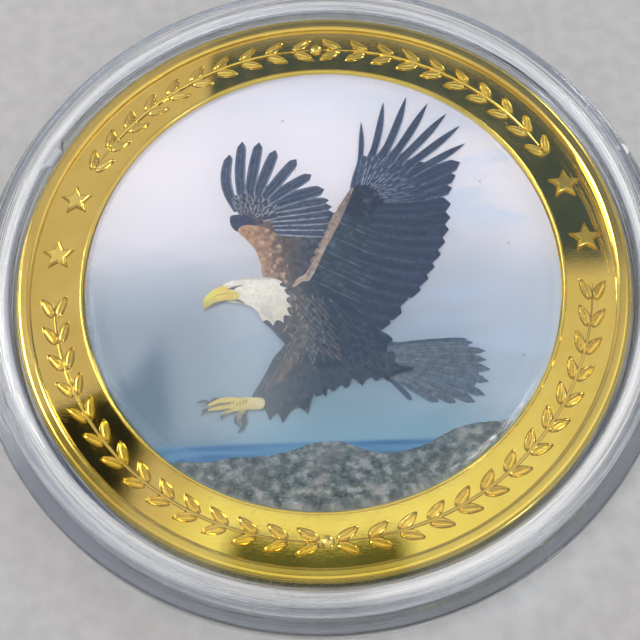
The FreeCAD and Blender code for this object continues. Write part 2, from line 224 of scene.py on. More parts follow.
def material(name, look, *values):
    """New material; look(shader, coordinates, ...) fills in its shader."""
    mat = bpy.data.materials.new(name)
    mat.use_nodes = True
    nodes = mat.node_tree.nodes
    nodes.clear()
    bsdf = nodes.new("ShaderNodeBsdfPrincipled")
    feed(nodes.new("ShaderNodeOutputMaterial").inputs["Surface"], bsdf.outputs["BSDF"])
    look(bsdf, place(bsdf), *values)
    return mat


def dress(bsdf, **values):
    """Feeds the shader's inputs by name, with _ for a space."""
    for key, item in values.items():
        feed(bsdf.inputs[key.replace("_", " ")], item)


def ramp(value, stops, smooth=True):
    """Colour ramp over value; stops are (position, (r, g, b))."""
    made = value.id_data.nodes.new("ShaderNodeValToRGB")
    made.color_ramp.interpolation = "EASE" if smooth else "LINEAR"
    while len(made.color_ramp.elements) < len(stops):
        made.color_ramp.elements.new(0.5)
    for element, (position, colour) in zip(made.color_ramp.elements, stops):
        element.position = position
        element.color = (*colour, 1)
    feed(made.inputs["Fac"], value)
    return made.outputs["Color"]


def span(value, low, high, to_low=0, to_high=1, kind="SMOOTHSTEP"):
    """Value eased from low..high to to_low..to_high, and held beyond them."""
    inputs = {"Value": value, "From Min": low, "From Max": high, "To Min": to_low, "To Max": to_high}
    return grow(value.id_data, "MapRange", inputs, "Result", interpolation_type=kind, clamp=True)


def blend(factor, a, b, mode="MIX"):
    """Colour a where factor is 0, b where it is 1."""
    return grow(tree_of(factor, a, b), "Mix", {0: factor, 6: a, 7: b}, 2, data_type="RGBA",
            blend_type=mode)


def clouds(vector, scale, detail=3, rough=0.5, distortion=0):
    inputs = {"Vector": vector, "Scale": scale, "Detail": detail, "Roughness": rough,
            "Distortion": distortion}
    return grow(vector.id_data, "TexNoise", inputs, "Fac")


def place(bsdf, stretch=(1, 1, 1), turn=0):
    """Object coordinates in millimetres, stretched and turned about Z."""
    tree = bsdf.id_data
    inputs = {"Vector": grow(tree, "TexCoord", {}, "Object"), "Scale": tuple(s / MM for s in stretch),
            "Rotation": (0, 0, radians(turn))}
    return grow(tree, "Mapping", inputs)


def split(vector):
    made = vector.id_data.nodes.new("ShaderNodeSeparateXYZ")
    feed(made.inputs[0], vector)
    return made.outputs[:3]


def polar(x, y):
    """Distance from the axis, and angle in radians."""
    return maths("SQRT", plus(times(x, x), times(y, y)), 0), maths("ARCTAN2", y, x)


def ringed(here, across, along):
    """Coordinates that run in rings about the axis."""
    x, y, z = split(here)
    reach, angle = polar(x, y)
    return grow(here.id_data, "CombineXYZ", {0: times(reach, across), 1: times(angle, along), 2: z})


def bump(bsdf, height, strength, distance):
    inputs = {"Height": height, "Strength": strength, "Distance": distance}
    dress(bsdf, Normal=grow(bsdf.id_data, "Bump", inputs))


def let_light_in(bsdf):
    """Lamps shine through the clear material, which would cast a black shadow otherwise."""
    tree = bsdf.id_data
    surface = bsdf.outputs[0].links[0].to_socket
    shadow = grow(tree, "LightPath", {}, "Is Shadow Ray")
    clear = grow(tree, "BsdfTransparent", {"Color": (0.97, 0.98, 0.99)})
    feed(surface, grow(tree, "MixShader", {0: shadow, 1: bsdf.outputs[0], 2: clear}))


# -------- materials
def gold_look(bsdf, here):
    """Mirror-bright gold plating with cloudy patches, polishing lines and browner, stippled relief; a painted
    shade darkens the foot of the relief's bevels.
    """
    cloud = clouds(here, 0.35, 4, 0.6)
    fine = clouds(here, 9, 3, 0.6)
    x, y, z = split(here)
    reach = polar(x, y)[0]
    raised = times(span(z, FIELD + 0.02, FIELD + 0.12), span(reach, RIM_IN + 0.02, RIM_IN - 0.02))
    rim = span(reach, RIM_IN - 0.02, RIM_IN + 0.05)
    # painted shade: a dark line along the lower part of the wreath's relief bevels, standing in for crease
    # shadow
    painted_crease_shade = times(span(z, FIELD + 0.01, FIELD + 0.03), span(z, FIELD + 0.12, FIELD + 0.07),
            span(reach, BEAD_OUT + 0.1, BEAD_OUT + 0.2), span(reach, RIM_IN - 0.1, RIM_IN - 0.2))
    colour = ramp(cloud, [(0.3, (0.87, 0.67, 0.11)), (0.7, (0.94, 0.75, 0.16))])
    colour = blend(times(most(raised, rim), 0.35), colour, (0.74, 0.52, 0.12))
    # the painted crease shade, dark brown at half strength
    colour = blend(times(painted_crease_shade, 0.5), colour, (0.34, 0.22, 0.03))
    rough = plus(span(cloud, 0.35, 0.75, 0.015, 0.035), span(fine, 0.55, 0.8, 0, 0.03),
            times(raised, 0.2), times(rim, 0.1))
    dress(bsdf, Base_Color=colour, Metallic=1, Roughness=rough)
    lines = clouds(place(bsdf, (1, 14, 1), 24), 1.6, 2)
    stipple = times(clouds(here, 11, 2, 0.6), raised)
    height = plus(times(lines, 0.12), times(clouds(here, 0.8, 2), 0.3), times(stipple, 1.5))
    bump(bsdf, height, 0.3, 0.000012)


def sheet_look(bsdf, here):
    """Printed sky and sea: lavender-white above, blue patches, grey-blue below, a band of sea, and a painted
    shade darkening the lower left.
    """
    x, y, z = split(here)
    soft = clouds(place(bsdf, (0.6, 1, 1)), 0.11)
    wisps = clouds(place(bsdf, (0.35, 1, 1), 6), 0.28, 5, 0.6, 0.4)
    up = span(plus(y, times(minus(soft, 0.5), 9)), -15, 15, kind="LINEAR")
    sky = ramp(up, [
        (0, (0.24, 0.35, 0.43)), (0.2, (0.24, 0.37, 0.44)), (0.36, (0.31, 0.4, 0.5)),
        (0.48, (0.5, 0.53, 0.6)), (0.6, (0.76, 0.74, 0.79)), (0.8, (0.86, 0.82, 0.87)),
        (1, (0.76, 0.76, 0.84)),
    ], smooth=False)
    blue = times(span(x, 1, 13), span(wisps, 0.42, 0.66), 0.5)
    sky = blend(blue, sky, (0.46, 0.62, 0.84))
    warm = times(span(wisps, 0.56, 0.36), span(y, -3, 6), 0.3)
    sky = blend(warm, sky, (0.86, 0.82, 0.84))
    pale = times(span(x, 6, 12), span(y, 3, -2), 0.5)
    sky = blend(pale, sky, (0.58, 0.64, 0.74))
    sky = blend(times(span(y, -8.6, -10.9), 0.45), sky, (0.22, 0.42, 0.56))
    # painted shade: darkens the print towards its lower left
    painted_corner_shade = times(span(x, -3, -9), span(y, 2, -4), 0.68)
    sky = blend(painted_corner_shade, sky, (0.13, 0.19, 0.26))
    streak = clouds(place(bsdf, (0.12, 1.6, 1)), 1.1)
    sea = ramp(streak, [(0.35, (0.035, 0.16, 0.36)), (0.65, (0.11, 0.28, 0.46))])
    colour = blend(span(y, -11.05, -11.35), sky, sea)
    dots = clouds(here, 26, 1)
    colour = blend(1, colour, ramp(dots, [(0.3, (0.94, 0.94, 0.94)), (0.7, (1, 1, 1))]), "MULTIPLY")
    specks = grow(bsdf.id_data, "TexVoronoi", {"Scale": 0.32, "Vector": here}, "Distance")
    colour = blend(times(span(specks, 0.045, 0.02), 0.5), colour, (0.25, 0.2, 0.18))
    dress(bsdf, Base_Color=colour, Roughness=0.5)
    bump(bsdf, dots, 0.15, 0.00001)


def ink_look(bsdf, here, depth, scale):
    """Printed ink over per-point tints, mottled."""
    tint = grow(bsdf.id_data, "VertexColor", {}, "Color", layer_name="tint")
    stops = [(0.3, (1 - depth,) * 3), (0.7, (1 + 0.35 * depth,) * 3)]
    shade = ramp(clouds(here, scale, 4, 0.6), stops, False)
    dress(bsdf, Base_Color=blend(1, tint, shade, "MULTIPLY"), Roughness=0.55)


def hill_look(bsdf, here):
    """Scrub-covered hills: grey-green ground, dark bushes, brown patches, paler with distance."""
    bushes = clouds(place(bsdf, (1, 1.3, 1)), 1.25, 4, 0.62)
    ground = ramp(bushes, [
        (0.38, (0.025, 0.042, 0.046)), (0.47, (0.075, 0.105, 0.105)),
        (0.54, (0.165, 0.195, 0.185)), (0.63, (0.35, 0.35, 0.33)),
    ])
    fine = span(clouds(here, 4.5, 3, 0.6), 0.5, 0.7)
    ground = blend(times(fine, 0.4), ground, (0.3, 0.28, 0.26))
    brown = span(clouds(here, 0.5, 2), 0.5, 0.7)
    ground = blend(times(brown, 0.3), ground, (0.15, 0.115, 0.09))
    far = span(split(here)[1], -15, -10.4)
    ground = blend(times(far, 0.22), ground, (0.15, 0.2, 0.23))
    dress(bsdf, Base_Color=ground, Roughness=0.55)


def resin_look(bsdf, here):
    """Clear poured resin: glossy, very slightly wavy, with whitish, rougher streaks along part of its edge, a
    painted highlight.
    """
    x, y, z = split(here)
    reach, angle = polar(x, y)
    turn = times(angle, 180 / pi)
    threads = clouds(ringed(here, 12, 16), 1.3, 4, 0.7)
    # painted highlight: whitish, less clear, rougher streaks on the lower-right part of the resin's edge
    painted_edge_glint = times(span(turn, -66, -52), span(turn, -26, -38),
            span(reach, RESIN_R - 0.4, RESIN_R - 0.24), span(threads, 0.48, 0.56))
    rough = plus(span(clouds(here, 3), 0.5, 0.8, 0, 0.04), times(painted_edge_glint, 0.25))
    dress(bsdf, IOR=1.5, Roughness=rough, Transmission_Weight=minus(1, times(painted_edge_glint, 0.75)),
          Base_Color=blend(painted_edge_glint, (0.985, 0.99, 1), (0.86, 0.88, 0.93)))
    frayed = times(clouds(ringed(here, 6, 2.2), 2, 4, 0.7),
            span(reach, RESIN_R - 0.75, RESIN_R - 0.35), 12)
    bump(bsdf, plus(clouds(here, 0.25, 2, 0.4), frayed), 0.3, 0.00002)
    let_light_in(bsdf)


def capsule_look(bsdf, here):
    """Clear moulded plastic: faint grey tint, turning rings, scuffs and a frosted gate mark; painted shade
    greys the gap by the coin and the flange, and a painted sheen whitens a streaky band of wall and the
    flange's outer edge.
    """
    x, y, z = split(here)
    reach = polar(x, y)[0]
    rings = ringed(here, 9, 1.2)
    outer = span(reach, 20.4, 20.8)
    gate_at = (GATE_X, GATE_Y, SEAM + FLANGE_T)
    away = grow(bsdf.id_data, "VectorMath", {0: here, 1: gate_at}, "Value", operation="DISTANCE")
    frosted = span(away, 0.56, 0.44)
    # painted sheen: a streaky whitish band on the wall, strongest towards the top and the lower right, stands
    # in for internal reflections
    sheen_sides = most(span(y, -10, 8, 0.3, 1), span(minus(x, y), 20, 26))
    streaks = span(clouds(rings, 0.9, 4, 0.7), 0.42, 0.58, 0.1, 0.8)
    band = times(span(reach, 20.45, 20.65), span(reach, 21.4, 21.2), streaks, sheen_sides)
    # whitened: the painted sheen band, a painted bright line at the flange's outer edge, and the real frosted
    # gate mark
    whitened = most(band, times(span(reach, 22.85, 22.95), 0.4), frosted)
    # painted shade: greyer, darker glass over the narrow gap between the coin and the wall
    painted_gap_shade = times(span(reach, 20.05, 20.12), span(reach, 20.45, 20.35))
    tint_and_shade = blend(painted_gap_shade, (0.975, 0.985, 1), (0.6, 0.63, 0.7))
    # painted shade: the flange and outer wall are tinted grey to darken them, on top of the faint real tint
    tint_and_shade = blend(span(reach, 21.2, 21.7), tint_and_shade, (0.7, 0.73, 0.78))
    scuffs = span(clouds(here, 2.2, 5, 0.65), 0.45, 0.75, 0, 0.16)
    rough = most(plus(times(scuffs, outer), 0.004), times(frosted, 0.7))
    dress(bsdf, IOR=1.49, Roughness=rough, Transmission_Weight=minus(1, times(whitened, 0.8)),
          Base_Color=blend(whitened, tint_and_shade, (0.9, 0.92, 0.95)))
    bump(bsdf, times(clouds(rings, 1.6, 3, 0.6), outer), 0.5, 0.00004)
    let_light_in(bsdf)


GOLD = material("gold_plate", gold_look)
SHEET = material("printed_sheet", sheet_look)
RESIN = material("clear_resin", resin_look)
CLEAR = material("clear_plastic", capsule_look)
FEATHER = material("feather_ink", ink_look, 0.45, 3.6)
DOWN = material("down_ink", ink_look, 0.14, 4)
HILL = material("hill_ink", hill_look)


# -------- coin
def coin_profile():
    bead_top = FIELD + BEAD_UP - 0.09
    top = [(0, SEAT), (BEAD_IN, SEAT), (BEAD_IN, FIELD + BEAD_UP - 0.16)]
    top += corner(BEAD_IN + 0.09, bead_top, -0.09, 180)
    top += corner(BEAD_OUT - 0.09, bead_top, -0.09, 90)
    top += [(BEAD_OUT, FIELD + 0.02), (BEAD_OUT + 0.02, FIELD)]
    top += [(RIM_IN - 0.02, FIELD), (RIM_IN, FIELD + 0.02), (RIM_IN + 0.03, COIN_TOP - 0.16)]
    top += corner(RIM_IN + 0.07, COIN_TOP - 0.15, -0.04, 180)[1:]
    top += [(RIM_IN + 0.07 + 0.6 * t, COIN_TOP - 0.01 * (1 - t) ** 2) for t in (0.25, 0.5, 0.75, 1)]
    top += corner(COIN_R - 0.3, COIN_TOP - 0.31, -0.3, 80)[:-1]
    edge = [(COIN_R, z) for z in (COIN_TOP - 0.34, COIN_TOP - 0.5, COIN_LOW + 0.5, COIN_LOW + 0.34)]
    low = corner(COIN_R - 0.3, COIN_LOW + 0.31, -0.3, 0)
    low += [(COIN_R - 0.36, COIN_LOW), (RIM_IN + 0.2, COIN_LOW)]
    low += corner(RIM_IN + 0.12, COIN_LOW + 0.12, -0.12, 270)[1:]
    low += [(RIM_IN, BACK), (0, BACK)]
    return (top + edge + low)[::-1]


def reeded(r, z, angle):
    if r < COIN_R - 0.01 or not COIN_LOW + 0.45 < z < COIN_TOP - 0.45:
        return r
    phase = angle * REEDS / (2 * pi) % 1
    return r - REED_DEEP * (0.5 - 0.5 * cos(2 * pi * phase))


def star_mesh(build, centre, tip, valley, low, foot, top, bevel):
    """Five-pointed star with bevels of even width and a flat top; it hangs down when top is below foot."""
    half = atan2(valley * sin(radians(36)), tip - valley * cos(radians(36)))
    at_tip, at_valley = 1 / sin(half), 1 / sin(half + radians(36))
    steps = ((0, low), (0, foot), (0.35, foot + (top - foot) * 0.62), (0.75, top - (top - foot) * 0.08),
            (1, top))
    verts, faces = [], []
    for share, z in steps:
        for i in range(10):
            outer, slant = (valley, at_valley) if i % 2 else (tip, at_tip)
            reach = outer - share * bevel * slant
            verts.append((*around(centre, reach, radians(90 + 36 * i)), z))
    verts.append((*centre, top))
    for k in range(0, 50, 10):
        for i in range(10):
            a, b = k + i, k + (i + 1) % 10
            faces.append((a, b, b + 10, a + 10) if k < 40 else (a, b, 50))
    faces.append(tuple(range(9, -1, -1)))
    build.add(verts, faces, flip=top < foot)


def band_point(angle, reach, along):
    """Point of the ornament band: angle in degrees, reach from the axis, along the band."""
    a = radians(angle)
    return (reach * cos(a) - along * sin(a), reach * sin(a) + along * cos(a))


def leaf_mesh(build, angle, side, way, low, foot, top):
    """Laurel leaf: raised rounded border and centre vein with sunken panels between them."""
    a = (RING_MID + 0.12 * side, -0.66 * way)
    b = (RING_MID + 0.86 * side, 0.88 * way)
    dx, dy = b[0] - a[0], b[1] - a[1]
    length = hypot(dx, dy)
    nx, ny = -dy / length, dx / length
    rows, cols = 12, 10
    verts, faces = [], []
    for i in range(rows + 1):
        u = i / rows
        wide = 0.36 * (sin(pi * u**0.85)) ** 0.8 + 0.012
        bend = 0.07 * sin(pi * u) * side * way
        for j in range(cols + 1):
            v = 2 * j / cols - 1
            across = wide * v + bend
            edge = max(0, 1 - abs(v) ** 4)
            border = exp(-((abs(v) - 0.68) / 0.2) ** 2)
            vein = exp(-(v / 0.16) ** 2)
            ends = min(1, 5 * u, 5 * (1 - u))
            rise = edge * (0.45 + 0.55 * max(border, 0.9 * vein)) * ends
            z = low if j in (0, cols) or i in (0, rows) else foot + (top - foot) * rise
            at = band_point(angle, a[0] + dx * u + nx * across, a[1] + dy * u + ny * across)
            verts.append((*at, z))
    for i in range(rows):
        for p in range(i * (cols + 1), i * (cols + 1) + cols):
            faces.append((p, p + cols + 1, p + cols + 2, p + 1))
    rim = grid_rim(rows, cols)
    verts.append((*band_point(angle, (a[0] + b[0]) / 2, (a[1] + b[1]) / 2), low))
    for p, q in zip(rim, rim[1:] + rim[:1]):
        faces.append((p, q, len(verts) - 1))
    p0, p1, p2 = (Vector(verts[k]) for k in faces[cols * rows // 2][:3])
    build.add(verts, faces, flip=(p1 - p0).cross(p2 - p0).z < 0)


def stem_mesh(build, start, end, low, top):
    """Half-round stem along the band from start to end degrees."""
    count = max(4, int(abs(end - start) / 1.5))
    ring = 8
    verts, faces = [], []
    for i in range(count + 1):
        shrink = min(1, 0.35 + 3 * min(i, count - i) / count)
        for j in range(ring):
            a = 2 * pi * j / ring
            at = band_point(start + (end - start) * i / count, RING_MID + 0.11 * shrink * cos(a), 0)
            verts.append((*at, low + (top - low) * (0.5 + 0.5 * sin(a)) * shrink))
    for i in range(0, count * ring, ring):
        for j in range(ring):
            k = (j + 1) % ring
            faces.append((i + j, i + ring + j, i + ring + k, i + k))
    faces.append(tuple(range(ring)))
    faces.append(tuple(count * ring + j for j in range(ring - 1, -1, -1)))
    build.add(verts, faces, flip=end < start)


def dome_mesh(build, cx, cy, radius, low, top):
    """Round berry or moulding mark: a low dome."""
    step = low + 0.06
    turns = [radians(t) for t in range(0, 90, 15)]
    profile = [(0, low), (radius, low)]
    profile += [(radius * cos(t), step + (top - step) * sin(t)) for t in turns]
    verts, faces = lathe(profile + [(0, top)], 20)
    build.add([(x + cx, y + cy, z) for x, y, z in verts], faces)


coin = Build()
coin.add(*lathe(coin_profile(), REEDS * 4, reeded))
ROOT, FOOT, UP = FIELD - 0.05, FIELD - 0.002, FIELD + 0.21
for lift in (6.8, 20.5):
    x, y = around((0, 0), RING_MID, radians(lift))
    for side in (1, -1):
        star_mesh(coin, (side * x, y), 1.16, 0.54, ROOT, FOOT, UP + 0.08, 0.17)
STEP, FIRST = 6.2, 3.6
for middle, pairs, towards in ((90, 10, -1), (270, 14, 1)):
    for side in (1, -1):
        for k in range(pairs):
            for across in (1, -1):
                leaf_mesh(coin, middle + side * (FIRST + STEP * k), across, side * towards, ROOT, FOOT, UP)
        reach = FIRST + STEP * (pairs - 1) + 1.9
        stem_mesh(coin, middle + side * 1.6, middle + side * reach, ROOT, FIELD + 0.16)
    dome_mesh(coin, *around((0, 0), RING_MID, radians(middle)), 0.42, ROOT, UP + 0.02)
star_mesh(coin, (0, 0), 9, 3.6, BACK + 0.05, BACK + 0.002, BACK - 0.22, 0.5)
make("coin_struck", coin.verts, coin.faces, "coin", "gold_plate", GOLD, 28, ("coin_body",))

# -------- printed sheet and resin
sheet = lathe([(0, SEAT + 0.001), (SHEET_R, SEAT + 0.001), (SHEET_R, SHEET_TOP - 0.02),
        (SHEET_R - 0.02, SHEET_TOP), (8, SHEET_TOP), (0, SHEET_TOP)], DISC_STEPS)
make("picture_sheet", *sheet, "coin", "printed_sheet", SHEET, replaces=("print_disc",))

resin_low = SHEET_TOP - 0.004
resin_profile = [(0, resin_low), (RESIN_R - 0.05, resin_low), (RESIN_R, resin_low + 0.06)]
resin_profile += corner(RESIN_R - 0.24, RESIN_TOP - 0.26, 0.24, 0, 8)[1:]
resin_profile += [(RESIN_R - 1.2, RESIN_TOP - 0.004), (0, RESIN_TOP)]
make("resin_cover", *lathe(resin_profile, DISC_STEPS), "coin", "clear_resin", RESIN,
     replaces=("resin_layer",))


# -------- capsule
def base_profile():
    under = SEAM - FLANGE_T
    pts = [(0, 0), *GROOVE]
    pts += corner(SHELL_R - 0.45, 0.45, 0.45, 270)
    pts += [(SHELL_R, under - 0.05), (SHELL_R + 0.05, under)]
    pts += corner(FLANGE_R - 0.3, under + 0.3, 0.3, 270)
    pts += [(FLANGE_R, SEAM - 0.05), (FLANGE_R - 0.05, SEAM - 0.005), (TONGUE_R, SEAM - 0.005)]
    pts += [(TONGUE_R, TONGUE_TOP - 0.12)] + corner(TONGUE_R - 0.12, TONGUE_TOP - 0.12, 0.12, 0)[1:]
    pts += corner(WELL_R + 0.12, TONGUE_TOP - 0.12, 0.12, 90)
    return pts + [(WELL_R, FLOOR_TOP + 0.06), (WELL_R - 0.06, FLOOR_TOP), (0, FLOOR_TOP)]


def lid_profile():
    pts = [(BORE_R, SEAM + 0.005), (FLANGE_R - 0.05, SEAM + 0.005), (FLANGE_R, SEAM + 0.05)]
    pts += corner(FLANGE_R - 0.3, SEAM + FLANGE_T - 0.3, 0.3, 0)
    pts += [(SHELL_R + 0.05, SEAM + FLANGE_T), (SHELL_R, SEAM + FLANGE_T + 0.05)]
    pts += corner(SHELL_R - 0.45, LID_TOP - 0.45, 0.45, 0)
    pts += [(r, LID_TOP - deep) for r, deep in reversed(GROOVE)]
    return pts + [(0, LID_TOP), (0, ROOF_LOW), (BORE_R - 0.1, ROOF_LOW), (BORE_R, ROOF_LOW - 0.1)]


def with_notch(verts, faces):
    """Lowers the tongue's top over the locating notch."""
    half = degrees(NOTCH_WIDE / 2 / WELL_R)
    out = []
    for x, y, z in verts:
        turn = (degrees(atan2(y, x)) - NOTCH_AT + 180) % 360 - 180
        if z > SEAM + 0.2 and abs(turn) < half:
            z -= NOTCH_DEEP * min(1, 3 * (1 - abs(turn) / half))
        out.append((x, y, z))
    return out, faces


make("case_base", *with_notch(*lathe(base_profile(), CASE_STEPS)), "base", "clear_plastic", CLEAR,
     replaces=("capsule_base",))
lid = Build()
lid.add(*lathe(lid_profile(), CASE_STEPS))
dome_mesh(lid, GATE_X, GATE_Y, 0.48, SEAM + 0.4, SEAM + FLANGE_T + 0.1)
make("case_lid", lid.verts, lid.faces, "lid", "clear_plastic", CLEAR, replaces=("capsule_lid",))


# -------- printed picture: drawing helpers
INK_STEP, INK_THICK = 0.0004, 0.0003
LEVELS = {"used": 0}


def ink(red, green, blue):
    """Linear tint from a printer's colour of 0 to 255."""
    return tuple(c / 255 / 12.92 if c < 10.3 else ((c / 255 + 0.055) / 1.055) ** 2.4
            for c in (red, green, blue))


def mixed(a, b, t):
    t = min(1, max(0, t))
    return tuple(p + (q - p) * t for p, q in zip(a, b))


def grainy(x, y, scale):
    """Smooth noise from 0 to 1."""
    return 0.5 + 0.5 * noise.noise(Vector((x * scale, y * scale, 3.7)))


def scattered(k):
    """Three even spreads from 0 to 1 that don't line up."""
    return k * 0.7549 % 1, k * 0.5698 % 1, k * 0.37 % 1


def next_level():
    """Top and underside of a new shape, which lies just on top of the last one."""
    LEVELS["used"] += 1
    top = SHEET_TOP + INK_STEP * LEVELS["used"]
    return top, top - INK_THICK


def inside(p, rim):
    """Even-odd test."""
    hit = False
    for a, b in zip(rim, rim[1:] + rim[:1]):
        if (a.y > p.y) != (b.y > p.y) and p.x < (b.x - a.x) * (p.y - a.y) / (b.y - a.y) + a.x:
            hit = not hit
    return hit


def patch(build, outline, tint, spacing=0.25):
    """Thin flat shape inside a closed outline, in one tint or tinted by tint(x, y)."""
    rim = [Vector(p[:2]) for p in outline]
    xs, ys = [p.x for p in rim], [p.y for p in rim]
    inner = []
    for i in range(1, int((max(ys) - min(ys)) / spacing) + 1):
        for j in range(1, int((max(xs) - min(xs)) / spacing) + 1):
            p = Vector((min(xs) + (j - 0.5 * (i % 2)) * spacing, min(ys) + i * spacing))
            if inside(p, rim):
                inner.append(p)
    edges = [(i, (i + 1) % len(rim)) for i in range(len(rim))]
    points, made, tris = geometry.delaunay_2d_cdt(rim + inner, edges, [], 1, 1e-6)[:3]
    count = len(points)
    faces, border = [], {}
    for f in tris:
        a, b, c = (points[k] for k in f[:3])
        if (b - a).cross(c - a) < 0:
            f = f[::-1]
        faces += [tuple(f), tuple(k + count for k in f[::-1])]
        for p, q in zip(f, f[1:] + f[:1]):
            if border.pop((q, p), None) is None:
                border[(p, q)] = True
    faces += [(q, p, p + count, q + count) for p, q in border]
    tints = [tint(p.x, p.y) if callable(tint) else tint for p in points]
    build.add([(p.x, p.y, z) for z in next_level() for p in points], faces, tints * 2)


def shape(build, tint, points, spacing=0.25, per=5):
    """Patch with a smooth outline."""
    patch(build, spline(points, per), tint, spacing)


def blade(build, root, tip, wide, bend, dark, pale, edge=0.5, seed=0, pointed=False):
    """One feather from root to tip: dark web, thin pale trailing edge and shaft line."""
    rows, cols = 12, 8
    dx, dy = tip[0] - root[0], tip[1] - root[1]
    length = hypot(dx, dy)
    nx, ny = -dy / length, dx / length
    top, low = next_level()
    verts, tints, faces = [], [], []
    for i in range(rows + 1):
        u = i / rows
        if pointed:
            half = wide * (0.5 - 0.25 * min(1, max(0, (u - 0.18) / 0.2)))
            half *= (1 - max(0, (u - 0.62) / 0.38) ** 2.2)
        else:
            half = wide * 0.5 * (0.72 + 0.28 * sin(pi * min(1, u * 0.9)))
            half *= sqrt(max(0, 1 - max(0, (u - 0.86) / 0.14) ** 2))
        half = max(half, 0.012)
        off = bend * sin(pi * u)
        for j in range(cols + 1):
            v = 2 * j / cols - 1
            x = root[0] + dx * u + nx * (off + half * v)
            y = root[1] + dy * u + ny * (off + half * v)
            verts.append((x, y, top))
            rimlight = max(0, abs(v) * 2.2 - 1.1) * (0.5 if v > 0 else 1)
            tone = mixed(dark, pale, edge * rimlight * (0.5 + 0.9 * grainy(x + seed, y, 2)))
            if j == cols // 2:
                tone = mixed(tone, pale, 0.1)
            tone = mixed(tone, dark, 0.5 * u * u)
            tints.append(mixed(tone, pale, 0.12 * grainy(x * 1.5 + seed, y * 1.5, 2.6)))
    count = len(verts)
    verts += [(x, y, low) for x, y, z in verts]
    for i in range(rows):
        for p in range(i * (cols + 1), i * (cols + 1) + cols):
            quad = (p, p + 1, p + cols + 2, p + cols + 1)
            faces += [quad[::-1], tuple(k + count for k in quad)]
    rim = grid_rim(rows, cols)
    faces += [(p, q, q + count, p + count) for p, q in zip(rim, rim[1:] + rim[:1])]
    build.add(verts, faces, tints * 2)


def feathers(build, rows, dark, pale, bend=0, **more):
    """Feathers, each given by its root, tip, width and perhaps its own bend; dark may depend on the count."""
    for k, (rx, ry, tx, ty, wide, *own) in enumerate(rows):
        web = dark(k) if callable(dark) else dark
        blade(build, (rx, ry), (tx, ty), wide, own[0] if own else bend, web, pale, seed=k, **more)


def ribbon(build, tint, path, widths):
    """Strip along a smooth path with a width at each of its points."""
    line = spline(path, 5, closed=False)
    wide = spline([(w, 0) for w in widths], 5, closed=False)
    left, right = [], []
    for i, (x, y) in enumerate(line):
        a, b = line[max(0, i - 1)], line[min(len(line) - 1, i + 1)]
        dx, dy = b[0] - a[0], b[1] - a[1]
        length = hypot(dx, dy) or 1
        half = max(0.01, wide[i][0] / 2)
        left.append((x - dy / length * half, y + dx / length * half))
        right.append((x + dy / length * half, y - dx / length * half))
    patch(build, left + right[::-1], tint, 0.14)


def printed(name, build, mat=FEATHER):
    """Finished piece of the picture, on the sheet."""
    make(name, build.verts, build.faces, "coin", "printed_sheet", mat, colours=build.tints)


# -------- printed picture: hills and eagle
NIGHT = ink(12, 32, 62)
SLATE = ink(22, 50, 84)
STEEL = ink(40, 66, 88)
PALE = ink(196, 206, 224)
VIOLET = ink(128, 144, 184)
BROWN = ink(112, 92, 82)
CREAM = ink(234, 230, 218)

hills = Build()
ridge = spline([(-9.6, -12.15), (-7.6, -12.3), (-5.8, -12.05), (-3.9, -12), (-2.3, -11.75),
        (-0.9, -11.3), (0.8, -11.2), (2.1, -11.65), (3.4, -12), (4.9, -11.9),
        (6.4, -11.45), (7.8, -10.7), (9.2, -10.3), (10.6, -10.2), (11.55, -10.15)], 6, False)
ridge = [(x, y + 0.1 * noise.noise(Vector((x * 3.1, 0, 0)))) for x, y in ridge]
start, finish = (atan2(y, x) for x, y in (ridge[-1], ridge[0]))
arc = [around((0, 0), SHEET_R - 0.05, start + (finish - start) * i / 40) for i in range(41)]
patch(hills, ridge + arc, (1, 1, 1), 0.6)
make("hill_print", hills.verts, hills.faces, "coin", "printed_sheet", HILL)

# far wing: separate rounded primaries, then secondaries, small coverts and the tan arm
far = Build()


def far_tone(x, y):
    brown = mixed(STEEL, BROWN, 1.3 - (x + 3.9) / 2.6)
    return mixed(brown, ink(150, 140, 134), 0.5 * max(0, grainy(x, y, 2.6) - 0.45) * 2)


def arm_tone(x, y):
    mark = grainy(x, y, 3.4)
    base = mixed(ink(190, 148, 116), ink(104, 90, 86), (x + 4.3) / 1.9 + 1.1 * (mark - 0.5))
    return mixed(base, ink(236, 204, 172), max(0, grainy(x, y, 5) - 0.55) * 2.6)


shape(far, far_tone, [
    (-3.7, 0), (-3.4, 1.6), (-3.2, 3), (-4.4, 3.9), (-5.4, 4.6), (-4.8, 5.4), (-3, 5.2),
    (-0.5, 4.8), (0.6, 4.2), (0.7, 3.3), (0.1, 2), (-0.8, 0.4), (-1.8, -0.7), (-2.8, -0.4)])
feathers(far, [
    (-2.9, 3.4, 0.65, 3.1, 0.7), (-3.05, 3.75, 0.85, 3.62, 0.7), (-3.2, 4.05, 0.95, 4.12, 0.7),
    (-3.3, 4.35, 0.95, 4.62, 0.7), (-3.4, 4.65, 0.82, 5.12, 0.7), (-3.5, 4.95, 0.62, 5.62, 0.7),
], mixed(SLATE, BROWN, 0.08), PALE, 0.04, edge=0.85)
feathers(far, [
    (-3.7, 5.2, 0.32, 6.45, 0.98, 0.1), (-3.9, 5.4, -0.52, 7.62, 0.82, 0.05),
    (-4.1, 5.6, -1.52, 8.85, 0.8, -0.03), (-4.4, 5.7, -2.95, 9.62, 0.8, 0),
    (-4.8, 5.6, -4.05, 10.28, 0.78, 0.06), (-5.2, 5.5, -5.22, 10.38, 0.74, 0.16),
    (-5.5, 5, -6.1, 9.4, 0.76, 0.5),
], SLATE, PALE)
WRIST = (-4.95, 4.25)
